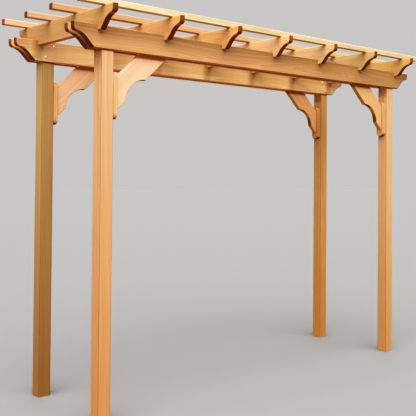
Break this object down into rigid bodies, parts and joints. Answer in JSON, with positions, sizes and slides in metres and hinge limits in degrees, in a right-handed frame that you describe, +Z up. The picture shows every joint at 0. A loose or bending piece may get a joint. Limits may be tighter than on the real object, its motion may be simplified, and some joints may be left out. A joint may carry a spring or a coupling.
{
  "type": "wooden pergola",
  "caption": "Free-standing open wooden pergola: posts with scalloped knee braces, paired ogee-tailed beams, notched rafters and slats across the top.",
  "frame": {"origin": "ground level under the middle of the frame", "axes": "+X along the beams to the right end, +Y from the front row to the back row, +Z up"},
  "size_m": [3.33, 1.219, 2.563],
  "materials": {
    "post_wood": "clear-finished cedar, satin",
    "beam_wood": "clear-finished cedar, satin",
    "rafter_wood": "clear-finished cedar, satin",
    "slat_wood": "clear-finished cedar, satin",
    "brace_wood": "clear-finished cedar, satin"
  },
  "bodies": {
    "root": {"post_front_left": "post_wood", "post_front_right": "post_wood", "post_back_left": "post_wood", "post_back_right": "post_wood", "beam_front_outer": "beam_wood", "beam_front_inner": "beam_wood", "beam_back_outer": "beam_wood", "beam_back_inner": "beam_wood", "rafter_1": "rafter_wood", "rafter_2": "rafter_wood", "rafter_3": "rafter_wood", "rafter_4": "rafter_wood", "rafter_5": "rafter_wood", "rafter_6": "rafter_wood", "rafter_7": "rafter_wood", "slat_1": "slat_wood", "slat_2": "slat_wood", "slat_3": "slat_wood", "slat_4": "slat_wood", "cleat_front_left": "brace_wood", "cleat_front_right": "brace_wood", "cleat_back_left": "brace_wood", "cleat_back_right": "brace_wood", "brace_front_left": "brace_wood", "brace_front_right": "brace_wood", "brace_back_left": "brace_wood", "brace_back_right": "brace_wood"}
  },
  "joints": []
}
